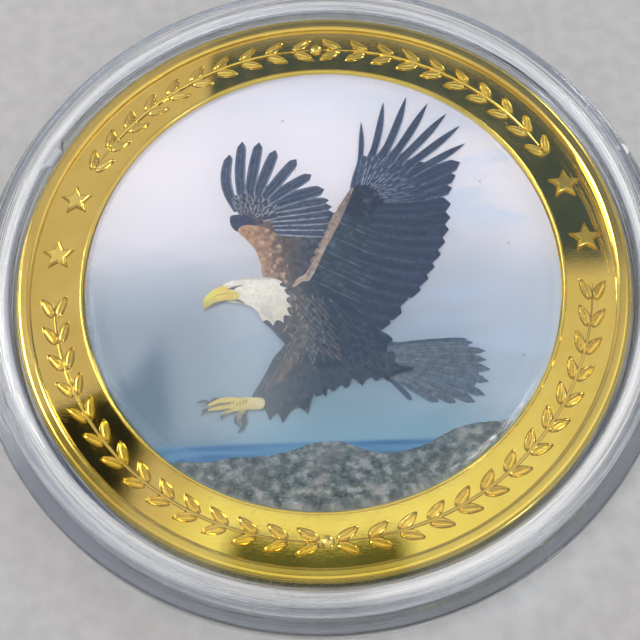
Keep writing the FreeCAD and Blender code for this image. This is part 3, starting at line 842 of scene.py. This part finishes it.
for k in range(7):
    a = radians(112 - 17 * k)
    blade(far, around(WRIST, 0.5, a), around(WRIST, 2.15, a), 0.62, 0.03, mixed(NIGHT, BROWN, 0.1),
          ink(216, 218, 228), 1, k)
for k in range(7):
    tip = around((-5, 4), 1.25, radians(96 - 15 * k))
    blade(far, (-5, 4), tip, 0.5, 0.02, mixed(NIGHT, BROWN, 0.35), ink(176, 172, 180), 0.9, k)
for k in range(12):
    x, y = -4.2 + 0.42 * (k % 6) + 0.2 * (k // 6), 3.4 - 0.55 * (k // 6) - 0.36 * (k % 6)
    blade(far, (x, y), (x + 0.55, y - 0.18), 0.32, 0.02, mixed(BROWN, STEEL, (k % 3) / 2),
          ink(168, 150, 134), 0.55, k)
shape(far, lambda x, y: mixed(ink(70, 74, 104), ink(54, 62, 84), grainy(x, y, 3)), [
    (-5.95, 4.7), (-6, 4.1), (-5.7, 3.6), (-5.2, 3.45), (-4.6, 3.9), (-4.3, 4.3), (-5, 4.7)])
shape(far, arm_tone, [
    (-5.5, 3.55), (-4.95, 2.9), (-4.35, 2.1), (-4, 1.1), (-3.7, -0.1), (-2.3, -0.35), (-2.2, 0.9),
    (-2.5, 2), (-2.9, 3.1), (-3.6, 3.7), (-4.4, 3.9), (-5.1, 3.95)], 0.18)
for k in range(46):
    u, v, w = scattered(k)
    a, long = radians(118 - 108 * u), 0.12 + 0.34 * w
    root = around(WRIST, 0.55 + 1.5 * v, a)
    blade(far, root, around(root, long, a + 0.3), 0.08, 0.03, mixed(SLATE, PALE, 0.35 + 0.4 * u), PALE,
          0.2, k)
printed("eagle_far_wing", far)


# tail: grey fan
def tail_grey(k):
    if k in (0, 10):
        return ink(62, 84, 106)
    return mixed(ink(84, 108, 132), ink(92, 102, 112), grainy(k * 1.3, 2, 1.1))


tail = Build()
shape(tail, lambda x, y: mixed(ink(98, 120, 142), ink(84, 98, 112), 0.6 * grainy(x, y, 1.5)), [
    (3.9, -4.9), (6.5, -4.9), (9, -5), (9.7, -6.2), (9.6, -7.6), (8.6, -8.4), (6.8, -8.2),
    (5, -7.5), (3.8, -7.2)])
feathers(tail, [
    (4, -7.1, 5.45, -8.7, 0.36), (4.2, -6.9, 7.1, -8.85, 0.72), (4.3, -6.6, 8.2, -8.95, 0.72),
    (4.3, -6.4, 9.4, -8.95, 0.7), (4.3, -6.2, 10.05, -8.5, 0.66), (4.3, -6, 10.35, -7.6, 0.66),
    (4.3, -5.8, 10.5, -6.8, 0.64), (4.3, -5.6, 10.3, -6.15, 0.6), (4.3, -5.4, 10.3, -5.55, 0.56),
    (4.1, -5.15, 9.55, -4.95, 0.5), (4, -4.95, 9.2, -4.68, 0.26),
], tail_grey, ink(158, 168, 178), 0.06, edge=0.3)
for k in range(16):
    y = -5.1 - 0.13 * k
    blade(tail, (3.9, y), (5 + 0.9 * (k * 7 % 5) / 4, y - 0.02 * k), 0.22, 0,
          mixed(ink(84, 100, 120), ink(112, 122, 134), (k % 4) / 3), ink(166, 176, 186), 0.35, k)
printed("eagle_tail", tail)

# near wing: pointed primaries, scalloped secondaries, covert rows and the pale leading edge
near = Build()


def near_tone(x, y):
    mark = grainy(x * 1.2, y, 2.6)
    green = mixed(SLATE, ink(62, 82, 94), 1 - (x - 1) / 3.5)
    green = mixed(green, ink(142, 156, 170), max(0, mark - 0.6) * 1.8 * max(0, 1.4 - x / 3.5))
    return mixed(green, NIGHT, 0.6 * grainy(x, y, 0.9))


def edge_tone(x, y):
    low = mixed(ink(206, 196, 188), ink(176, 140, 112), grainy(x, y, 3.2))
    return mixed(low, ink(138, 116, 110), (y - 3) / 2.6)


shape(near, near_tone, [
    (2.2, 6.3), (3, 7.5), (3.8, 8.5), (4.7, 8.8), (6.2, 8.4), (8.4, 7.9), (8.6, 6.4), (8, 5.5),
    (8.2, 4.4), (7.9, 2.6), (7.2, 0.6), (6, -1), (5, -2.2), (4.2, -3.2), (2.6, -3.2),
    (0.8, -2.4), (-0.9, -1.2), (-1, 0.1), (0.2, 2.3), (1.2, 4.4)], 0.3)
feathers(near, [
    (1, -1.9, 4.35, -3.45, 1.5), (1.3, -1.2, 5.1, -2.75, 1.6), (1.6, -0.5, 5.55, -1.8, 1.6),
    (1.9, 0.2, 6.4, -1.2, 1.6), (2.1, 0.9, 6.95, -0.4, 1.6), (2.4, 1.6, 7.4, 0.4, 1.6),
    (2.7, 2.3, 7.85, 1.3, 1.6), (3, 3, 8.2, 2.2, 1.6), (3.2, 3.6, 8.5, 3.1, 1.6),
    (3.4, 4.2, 8.65, 4, 1.55), (3.6, 4.8, 8.75, 5, 1.4),
], lambda k: mixed(SLATE, NIGHT, 0.3 + 0.2 * (k % 2)), mixed(SLATE, PALE, 0.35), -0.1, edge=0.24)
feathers(near, [(4.4, 5.6, 8.9, 6.2, 1.05), (4.5, 5.9, 9.2, 7.15, 1.1), (4.5, 6.2, 9.55, 8.15, 1.1)],
        mixed(NIGHT, ink(46, 60, 92), 0.5), VIOLET, -0.1)
feathers(near, [
    (4.4, 6.5, 9.98, 9.58, 1.15, -0.1), (4.2, 6.7, 9.72, 10.98, 1.15, -0.08),
    (4, 6.9, 8.84, 11.98, 1.15, -0.06), (3.7, 7, 7.62, 12.88, 1.12, -0.16),
    (3.3, 7, 6.17, 13.45, 1.1, -0.26), (2.8, 6.8, 4.58, 13.08, 0.98, -0.26),
    (2.4, 6.4, 2.98, 11.58, 0.72, -0.18),
], mixed(SLATE, NIGHT, 0.35), mixed(VIOLET, PALE, 0.4), edge=0.55, pointed=True)
ELBOW = (2.75, 5.35)
for row, (reach, count) in enumerate(((3.6, 13), (2.9, 11), (2.2, 10))):
    for k in range(count):
        a = radians(84 - 82 * k / (count - 1) + 3 * row)
        blade(near, around(ELBOW, 0.5 * reach, a), around(ELBOW, reach + 0.9 * k / count, a),
              0.5 - 0.05 * row, 0.02, mixed(ink(44, 60, 92), NIGHT, 0.2 + 0.05 * k), ink(168, 186, 216),
              0.75 - 0.04 * k + 0.1 * row, k + 5 * row)
shape(near, lambda x, y: mixed(NIGHT, ink(96, 112, 138), max(0, grainy(x, y, 3) - 0.5) * 1.7), [
    (2, 5.9), (2.4, 6.5), (2.9, 6.95), (3.5, 7.15), (3.95, 7.05), (4.1, 6.5), (4.25, 5.8),
    (4.2, 5.2), (3.7, 4.8), (3, 4.3), (2, 4.2), (1.3, 4.4)], 0.16)
for k in range(60):
    u, v, w = scattered(k)
    a, long = radians(86 - 80 * u), 0.2 + 0.5 * w
    root = around(ELBOW, 1.3 + 2.1 * v * v, a)
    blade(near, root, around(root, long, a - 0.2), 0.08, 0.03,
          mixed(SLATE, ink(176, 188, 214), 0.3 + 0.4 * (1 - u)), PALE, 0.2, k)
for row in range(5):
    for k in range(5):
        x, y = 0.75 + 0.62 * k - 0.28 * row, 4.25 - 1.15 * row - 0.34 * k
        pale = ink(150, 166, 176) if (k + row) % 2 else ink(112, 128, 142)
        blade(near, (x - 0.25, y + 0.3), (x + 0.75, y - 0.2), 0.5, 0,
              mixed(STEEL, NIGHT, 0.35 + 0.12 * (k % 3)), pale, seed=k + row)
ribbon(near, edge_tone, [
    (-1.95, -0.95), (-1.45, -0.4), (-0.9, 0.05), (-0.42, 0.9), (0.02, 1.9), (0.48, 2.9), (0.92, 3.8),
    (1.35, 4.7), (1.85, 5.7), (2.25, 6.5)], [0.2, 0.62, 0.5, 0.42, 0.44, 0.52, 0.58, 0.5, 0.36, 0.14])
for k in range(22):
    u = k / 21
    x = -1 + 3 * u + 0.12 * sin(9.1 * k) - 0.25 * sin(pi * u)
    y = -0.1 + 6.1 * u
    blade(near, (x, y), (x + 0.24, y + 0.42), 0.13, 0.02,
          mixed(ink(168, 140, 120), ink(120, 106, 104), k % 3 / 2), ink(216, 204, 194), 0.6, k)
printed("eagle_near_wing", near)

# body, legs and ragged belly
body = Build()


def body_tone(x, y):
    mark = grainy(x, y, 2.4)
    base = mixed(ink(44, 64, 80), ink(24, 52, 82), (x + 0.5) / 3)
    chest = exp(-(((x + 1.3) / 0.9) ** 2 + ((y + 4.3) / 1.9) ** 2))
    base = mixed(base, ink(150, 134, 124), 0.45 * chest * (2.2 * mark - 0.4))
    neck = exp(-(((x + 1.9) / 0.6) ** 2 + ((y + 1.6) / 1.3) ** 2))
    base = mixed(base, ink(120, 108, 106), 0.6 * neck * (0.4 + mark))
    leg = exp(-(((x + 2.5 - (y + 6.5) * 0.45) / 0.32) ** 2 + ((y + 6.4) / 1.7) ** 2))
    base = mixed(base, ink(176, 148, 132), 0.8 * leg * grainy(x * 2, y, 2))
    return mixed(base, ink(140, 152, 162), 1.2 * max(0, mark - 0.58))


shape(body, body_tone, [
    (-2.7, -0.3), (-1.9, -0.7), (-0.9, -0.3), (1, -1.2), (2.6, -2.9), (3.3, -3.6), (4.4, -4.5),
    (4.05, -5), (4.15, -5.6), (4.7, -6.3), (5.7, -6.55), (4.6, -6.9), (3.9, -7.15), (2.7, -7.1),
    (2.4, -7.7, True), (1.9, -7.1), (0.9, -7.15), (0.2, -7.35), (0.12, -8.35, True), (-0.3, -7.9),
    (-0.75, -8.2), (-1.1, -9.4, True), (-1.65, -8.9), (-2.2, -9.2), (-2.65, -9.95, True),
    (-3, -9.2), (-3.45, -9.75, True), (-3.7, -9.1), (-4, -8.7), (-3.95, -8.2), (-4.55, -8.1),
    (-4.1, -7.3), (-3.6, -6.4), (-3.2, -5.6), (-2.7, -5), (-2.45, -4.65, True), (-2.9, -4.1),
    (-3.4, -3.5), (-3.85, -2.9), (-3.2, -2)], 0.2)
for k in range(26):
    u = k / 25
    x = 3.9 - 7.4 * u + 0.2 * noise.noise(Vector((k * 1.7, 0, 0)))
    y = -6.2 - 1.9 * u + 0.35 * noise.noise(Vector((k * 2.3, 5, 0)))
    blade(body, (x + 0.4, y + 0.8), (x - 0.05 + 0.3 * (1 - u), y - 0.55 - 0.35 * (k % 3 == 0)), 0.55, 0.03,
          mixed(ink(34, 60, 84), ink(62, 76, 88), grainy(k, 1, 0.9)), ink(112, 122, 132), 0.3, k)
for row in range(6):
    for k in range(9):
        x, y = -1.75 + 0.56 * k + 0.2 * row, -1.25 - 0.72 * row - 0.26 * k
        tone = mixed(ink(30, 54, 76), ink(88, 80, 80), grainy(x, y, 1.8) - 0.14 * k)
        pale = ink(172, 170, 168) if k < 4 else ink(112, 130, 146)
        blade(body, (x - 0.15, y + 0.25), (x + 0.35, y - 0.32), 0.32, 0.02, tone, pale,
              0.75 - 0.06 * k, k + 3 * row)
for k in range(9):
    u = k / 8
    x, y = -1.6 - 1 * u, -4.4 - 1.6 * u
    blade(body, (x, y), (x - 0.9 - 0.25 * u, y - 1.9), 0.36, 0.05,
          mixed(ink(84, 84, 88), ink(48, 66, 82), (k % 3) / 2), ink(172, 150, 134), seed=k)
for k in range(60):
    u, v, w = scattered(k)
    x, y = -1.9 + 2.6 * u - 0.9 * v, -0.9 - 4.6 * v - 0.5 * u
    warm = mixed(ink(176, 148, 128), ink(130, 144, 156), u * 1.3)
    warm = mixed(ink(60, 74, 88), warm, 0.25 + 0.6 * w)
    lean, long = 0.25 * sin(5.3 * k), 0.2 + 0.3 * (k * 0.71 % 1)
    blade(body, (x, y + 0.1), (x + lean, y + 0.1 - long), 0.1, 0.03, warm, warm, 0.1, k)
printed("eagle_body", body)

# head, beak and eye
head = Build()


def head_tone(x, y):
    shade = mixed(CREAM, ink(214, 206, 190), (-0.6 - y) / 2.4)
    shade = mixed(shade, ink(172, 166, 160), 0.6 * max(0, grainy(x, y * 2.2, 2.2) - 0.5) * 2)
    return mixed(shade, ink(150, 150, 152), 0.7 * exp(-((y - 0.05) / 0.14) ** 2))


shape(head, head_tone, [
    (-6.5, -0.5), (-5.9, -0.12), (-5.1, 0.08), (-4, 0.12), (-3.1, -0.05), (-2.55, -0.3, True),
    (-2.75, -0.55), (-2.25, -0.75, True), (-2.5, -1), (-2.05, -1.35, True), (-2.35, -1.6),
    (-1.95, -2.1, True), (-2.3, -2.2), (-2.05, -2.75, True), (-2.5, -2.7), (-2.5, -3.2, True),
    (-2.95, -3), (-3.2, -3.4, True), (-3.5, -3), (-3.9, -3.05, True), (-4.15, -2.5),
    (-4.6, -2), (-5.3, -1.75), (-6, -1.62), (-6.6, -1.2)], 0.14, 4)
for k in range(14):
    u = k / 13
    x, y = -2.7 - 0.9 * u + 0.25 * sin(7 * u), -0.8 - 2 * u
    blade(head, (x - 0.5, y + 0.35), (x + 0.35, y - 0.35), 0.2, 0.02, mixed(CREAM, ink(190, 184, 172), u),
          ink(206, 200, 190), 0.3, k)
printed("eagle_head", head, DOWN)

face = Build()


def beak_tone(x, y):
    base = mixed(ink(224, 212, 74), ink(226, 184, 66), (x + 7.4) / 1.6)
    base = mixed(base, ink(206, 206, 96), max(0, (x + 6) / 0.6))
    return mixed(base, ink(168, 150, 62), (-1.15 - y) / 0.8)


shape(face, ink(96, 96, 84), [
    (-5, -1.78), (-5.6, -1.62), (-6.3, -1.56), (-6.9, -1.72), (-7.3, -1.98), (-7.1, -1.6),
    (-6.3, -1.35), (-5.6, -1.35)], 0.12)
shape(face, beak_tone, [
    (-6.35, -0.45), (-6.9, -0.62), (-7.4, -1), (-7.75, -1.5), (-7.68, -2.15, True), (-7.35, -1.85),
    (-6.95, -1.62), (-6.3, -1.48), (-5.7, -1.5), (-5.35, -1.25), (-5.5, -0.95), (-5.95, -0.78)], 0.12)
shape(face, ink(122, 112, 92), [
    (-6.2, -0.74, True), (-5.9, -0.56), (-5.4, -0.46), (-5.1, -0.46, True), (-5.5, -0.6),
    (-5.75, -0.74)], 0.1)
shape(face, ink(52, 50, 50), [(-5.95, -0.7), (-5.84, -0.61), (-5.7, -0.62), (-5.68, -0.72),
        (-5.8, -0.78)], 0.08, 4)
ribbon(face, ink(164, 150, 60), [(-7.25, -1.35), (-6.8, -1.12), (-6.3, -1.02), (-5.8, -1.05)],
       [0.03, 0.07, 0.06, 0.02])
printed("eagle_beak", face, DOWN)

# feet and claws
feet = Build()


def foot_tone(x, y):
    base = mixed(ink(206, 186, 84), ink(214, 204, 158), (x + 5.2) / 1.2)
    base = mixed(base, ink(196, 160, 92), max(0, grainy(x, y, 3.2) - 0.5) * 1.6)
    return mixed(base, ink(120, 110, 92), (-8.75 - y) / 0.6)


CLAW = ink(52, 66, 78)
ribbon(feet, CLAW, [(-7.2, -8.55), (-7.6, -8.35), (-8.05, -8.45)], [0.26, 0.22, 0.05])
ribbon(feet, CLAW, [(-7.2, -8.9), (-7.6, -9), (-7.7, -9.35)], [0.24, 0.2, 0.05])
ribbon(feet, CLAW, [(-6.5, -8.35), (-6.95, -8.25), (-7.2, -8.5)], [0.2, 0.26, 0.1])
ribbon(feet, CLAW, [(-6.1, -9.1), (-6.4, -9.3), (-6.5, -9.6)], [0.22, 0.16, 0.04])
ribbon(feet, CLAW, [(-5.2, -9), (-5.05, -9.6), (-5.15, -10.1), (-5.45, -10.5)], [0.3, 0.28, 0.22, 0.05])
ribbon(feet, CLAW, [(-5.5, -9.4), (-5.6, -9.8), (-5.3, -10.1)], [0.22, 0.16, 0.05])
shape(feet, foot_tone, [
    (-3.8, -8.35), (-4.5, -8.2), (-5.3, -8.2), (-5.7, -8.35), (-5.75, -8.75), (-5.5, -9.05),
    (-4.7, -9), (-3.9, -8.95)], 0.14)
for toe, widths in (
        ([(-5.2, -8.4), (-6, -8.3), (-6.7, -8.4), (-7.3, -8.65)], [0.3, 0.34, 0.3, 0.16]),
        ([(-5.2, -8.65), (-6, -8.72), (-6.7, -8.85), (-7.35, -8.95)], [0.36, 0.34, 0.26, 0.14]),
        ([(-5.1, -8.8), (-5.7, -8.98), (-6.2, -9.15), (-6.45, -9.3)], [0.3, 0.28, 0.24, 0.12]),
        ([(-5, -8.8), (-5.25, -9.15), (-5.4, -9.5), (-5.38, -9.75)], [0.34, 0.34, 0.3, 0.14])):
    ribbon(feet, foot_tone, toe, widths)
for k in range(12):
    x, y = -4.9 - 0.2 * k, -8.42 - 0.05 * (k % 4) - 0.012 * k
    blade(feet, (x, y + 0.1), (x - 0.05, y - 0.14), 0.09, 0, ink(140, 116, 72), ink(206, 190, 120),
          0.3, k)
printed("eagle_feet", feet, DOWN)

# -------- floor, light, camera
EYE = (1.558, -33.093, 72.869)  # millimetres from the middle of the coin's flat field


def paper_look(bsdf, here):
    """Pale mottled paper."""
    grain = ramp(clouds(here, 0.8), [(0.3, (0.5, 0.51, 0.53)), (0.7, (0.56, 0.57, 0.59))])
    dress(bsdf, Base_Color=grain, Roughness=0.7)


def floor():
    mesh = bpy.data.meshes.new("floor")
    half = 0.6
    mesh.from_pydata([(-half, -half, 0), (half, -half, 0), (half, half, 0), (-half, half, 0)], [],
            [(0, 1, 2, 3)])
    obj = new_object("floor", mesh)
    obj.location.z = -0.00002
    mesh.materials.append(material("floor_paper", paper_look))


def soft_box(name, at, size, power, colour=(1, 1, 1)):
    light = bpy.data.lights.new(name, "AREA")
    light.shape = "RECTANGLE"
    light.size, light.size_y = size
    light.energy = power
    light.color = colour
    obj = new_object(name, light)
    obj.location = at
    obj.rotation_mode = "QUATERNION"
    obj.rotation_quaternion = (-Vector(at)).to_track_quat("-Z", "Y")


def studio():
    """Soft white room with dark cards overhead, laid out by the point of the coin's flat field that
    mirrors each direction into the camera."""
    world = bpy.data.worlds.new("studio")
    bpy.context.scene.world = world
    world.use_nodes = True
    tree = world.node_tree
    tree.nodes.clear()
    way = grow(tree, "TexCoord", {}, "Generated")
    dx, dy, dz = split(way)
    shift = times(minus(clouds(way, 7, 2), 0.5), 2)
    x, y = (plus(times(maths("DIVIDE", part, most(dz, 0.05)), EYE[2]), eye, shift)
            for part, eye in ((dx, EYE[0]), (dy, EYE[1])))
    reach, angle = polar(x, y)
    angle = times(angle, 180 / pi)
    lit = ramp(span(dz, 0, 0.9, kind="LINEAR"),
            [(0, (0.2, 0.21, 0.24)), (0.5, (0.3, 0.3, 0.32)), (0.85, (0.65, 0.56, 0.56))])
    near = times(span(angle, -128, -112), span(angle, -10, -75, 0.22, 1), span(angle, 2, -3),
            span(y, -70, -45), span(reach, 15.2, 15.7))
    lit = blend(near, lit, (1, 0.97, 0.72))
    low_card = times(span(angle, -112, -106), span(angle, -72, -78), span(reach, 17, 17.9),
            span(reach, 24, 21.5), 0.95)
    lit = blend(low_card, lit, (0.07, 0.085, 0.06))
    whitened = times(span(x, 0.5, -5.5), span(y, 4, -3), span(y, -12, -9.5))
    over = blend(whitened, (0.2, 0.26, 0.36), (1.32, 1.35, 1.4))
    lit = blend(span(reach, 15.5, 15.2), lit, over)
    ring = span(reach, 15.2, 15.6)
    on_rim = times(span(reach, 18.9, 19.15), span(reach, 22, 20.5))
    right_card = times(span(x, -7.8, -7.2), span(y, -0.4, 1.6), span(x, 45, 32), span(y, 62, 42), ring,
            minus(1, times(on_rim, 0.62)))
    lit = blend(right_card, lit, (0.07, 0.105, 0.25))
    glow = times(span(angle, -85, -60), span(angle, 10, -10), span(reach, 24, 29), span(reach, 50, 42))
    lit = blend(glow, lit, (1.25, 1.22, 1.12))
    side_edge = minus(times(plus(x, 9), 0.915), times(plus(y, 5), 0.402))
    left_card = times(span(minus(y, times(x, 0.51)), 0.1, -0.2), span(side_edge, 2, -0.6),
            span(reach, 23.5, 21.5))
    right_edge = plus(x, times(plus(y, 4.5), 0.2))
    left_edge = minus(x, times(plus(y, 4.3), 0.78))
    wedge = times(span(right_edge, -9.5, -11.2), span(left_edge, -12.2, -9.4), span(y, -13, -8.5))
    dark = plus(times(minus(1, ring), wedge), times(ring, left_card))
    lit = blend(dark, lit, (0.02, 0.022, 0.03))
    front = times(span(dy, -0.55, -0.8), span(dz, 0.12, 0.22), span(dz, 0.62, 0.5), span(dx, 0.35, 0.1))
    lit = blend(front, lit, (1.15, 1.12, 1.05))
    back = grow(tree, "Background", {"Color": lit, "Strength": 1})
    feed(tree.nodes.new("ShaderNodeOutputWorld").inputs["Surface"], back)


def camera():
    data = bpy.data.cameras.new("camera")
    data.sensor_width, data.lens = 36, 68.625
    obj = new_object("camera", data)
    right = Vector((0.9992, -0.0221, -0.033))
    up = Vector((0.033, 0.9239, 0.3813))
    turn = Matrix((right, up, right.cross(up).normalized())).transposed().to_4x4()
    obj.matrix_world = Matrix.Translation((Vector(EYE) + Vector((0, 0, FIELD))) * MM) @ turn
    data.clip_start, data.clip_end = 0.005, 5
    bpy.context.scene.camera = obj


floor()
studio()
soft_box("key", (-0.25, 0.1, 0.32), (0.12, 0.12), 0.5, (1, 0.98, 0.95))
soft_box("rim", (0.22, 0.3, 0.16), (0.06, 0.16), 0.35, (0.95, 0.98, 1))
soft_box("low_right", (0.3, -0.26, 0.09), (0.03, 0.03), 0.22)
soft_box("low_left", (-0.34, 0.2, 0.1), (0.03, 0.06), 0.17)
camera()
bpy.context.scene.view_settings.view_transform = "Standard"
